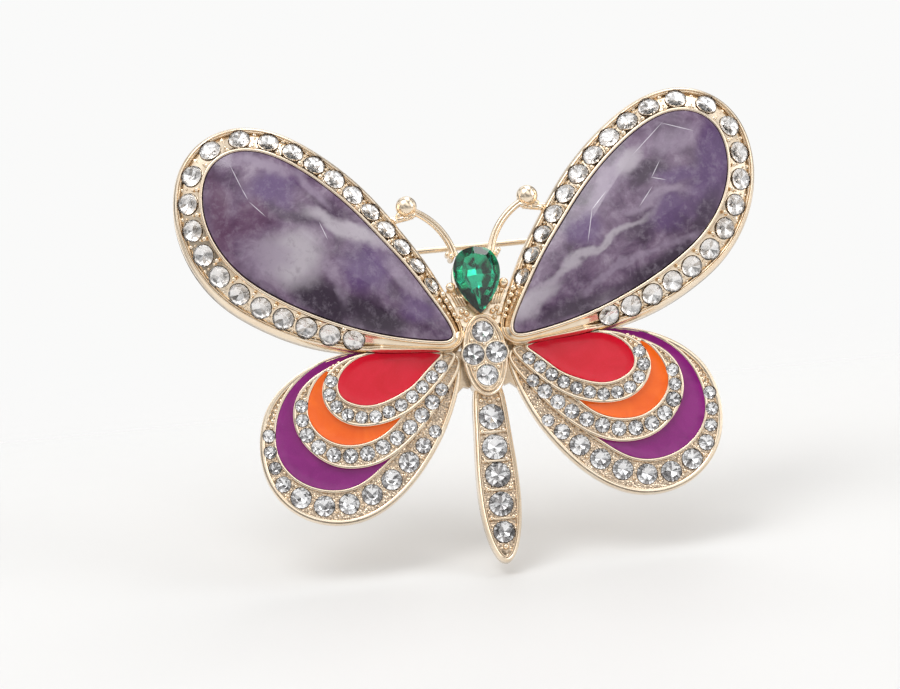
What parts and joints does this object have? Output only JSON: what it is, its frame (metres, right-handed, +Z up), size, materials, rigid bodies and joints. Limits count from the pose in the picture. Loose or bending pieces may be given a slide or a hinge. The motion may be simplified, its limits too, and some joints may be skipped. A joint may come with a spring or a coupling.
{
  "type": "butterfly brooch",
  "caption": "Butterfly brooch with gem-set and enamelled wings, a pear stone head, and a hinged pin stem with a rotating safety catch on the back.",
  "frame": {"origin": "on the pin stem's axis, at the butterfly's mid-line", "axes": "+X along the pin stem from its hinge to its catch, across the wings; +Y out of the back, into the wearer; +Z up along the body, from the abdomen's tip to the antennae"},
  "size_m": [0.0654, 0.0121, 0.0515],
  "materials": {
    "gold": "pale gold plating, polished",
    "pin": "gold-plated wire, drawn and polished",
    "amethyst": "polished, cloudy purple",
    "adhesive": "cured clear epoxy",
    "emerald": "faceted green glass",
    "rhinestone": "foil-backed faceted crystal",
    "red_enamel": "glossy pearl enamel",
    "orange_enamel": "glossy pearl enamel",
    "purple_enamel": "glossy pearl enamel"
  },
  "bodies": {
    "brooch": {"upper_wing_casting_left": "gold", "upper_wing_casting_right": "gold", "lower_wing_casting_left": "gold", "lower_wing_casting_right": "gold", "thorax_casting": "gold", "abdomen_casting": "gold", "head_setting": "gold", "antenna_left": "gold", "antenna_right": "gold", "amethyst_left": "amethyst", "amethyst_right": "amethyst", "amethyst_adhesive_left": "adhesive", "amethyst_adhesive_right": "adhesive", "emerald": "emerald", "upper_rhinestones_left": "rhinestone", "upper_rhinestones_right": "rhinestone", "inner_rhinestones_left": "rhinestone", "inner_rhinestones_right": "rhinestone", "middle_rhinestones_left": "rhinestone", "middle_rhinestones_right": "rhinestone", "outer_rhinestones_left": "rhinestone", "outer_rhinestones_right": "rhinestone", "thorax_rhinestones": "rhinestone", "abdomen_rhinestones": "rhinestone", "red_enamel_left": "red_enamel", "red_enamel_right": "red_enamel", "orange_enamel_left": "orange_enamel", "orange_enamel_right": "orange_enamel", "purple_enamel_left": "purple_enamel", "purple_enamel_right": "purple_enamel", "hinge_bracket": "gold", "hinge_rivet": "gold", "catch_housing": "gold"},
    "pin": {"pin_stem": "pin"},
    "catch_roller": {"catch_roller": "gold"}
  },
  "joints": [
    {"name": "pin_hinge", "type": "hinge", "parent": "brooch", "child": "pin", "pos_m": [-0.0145, 0, 0], "axis": [0, 0, 1], "range_deg": [0, 70]},
    {"name": "catch_turn", "type": "hinge", "parent": "brooch", "child": "catch_roller", "pos_m": [0.014, 0, 0], "axis": [1, 0, 0], "range_deg": [0, 100]}
  ]
}
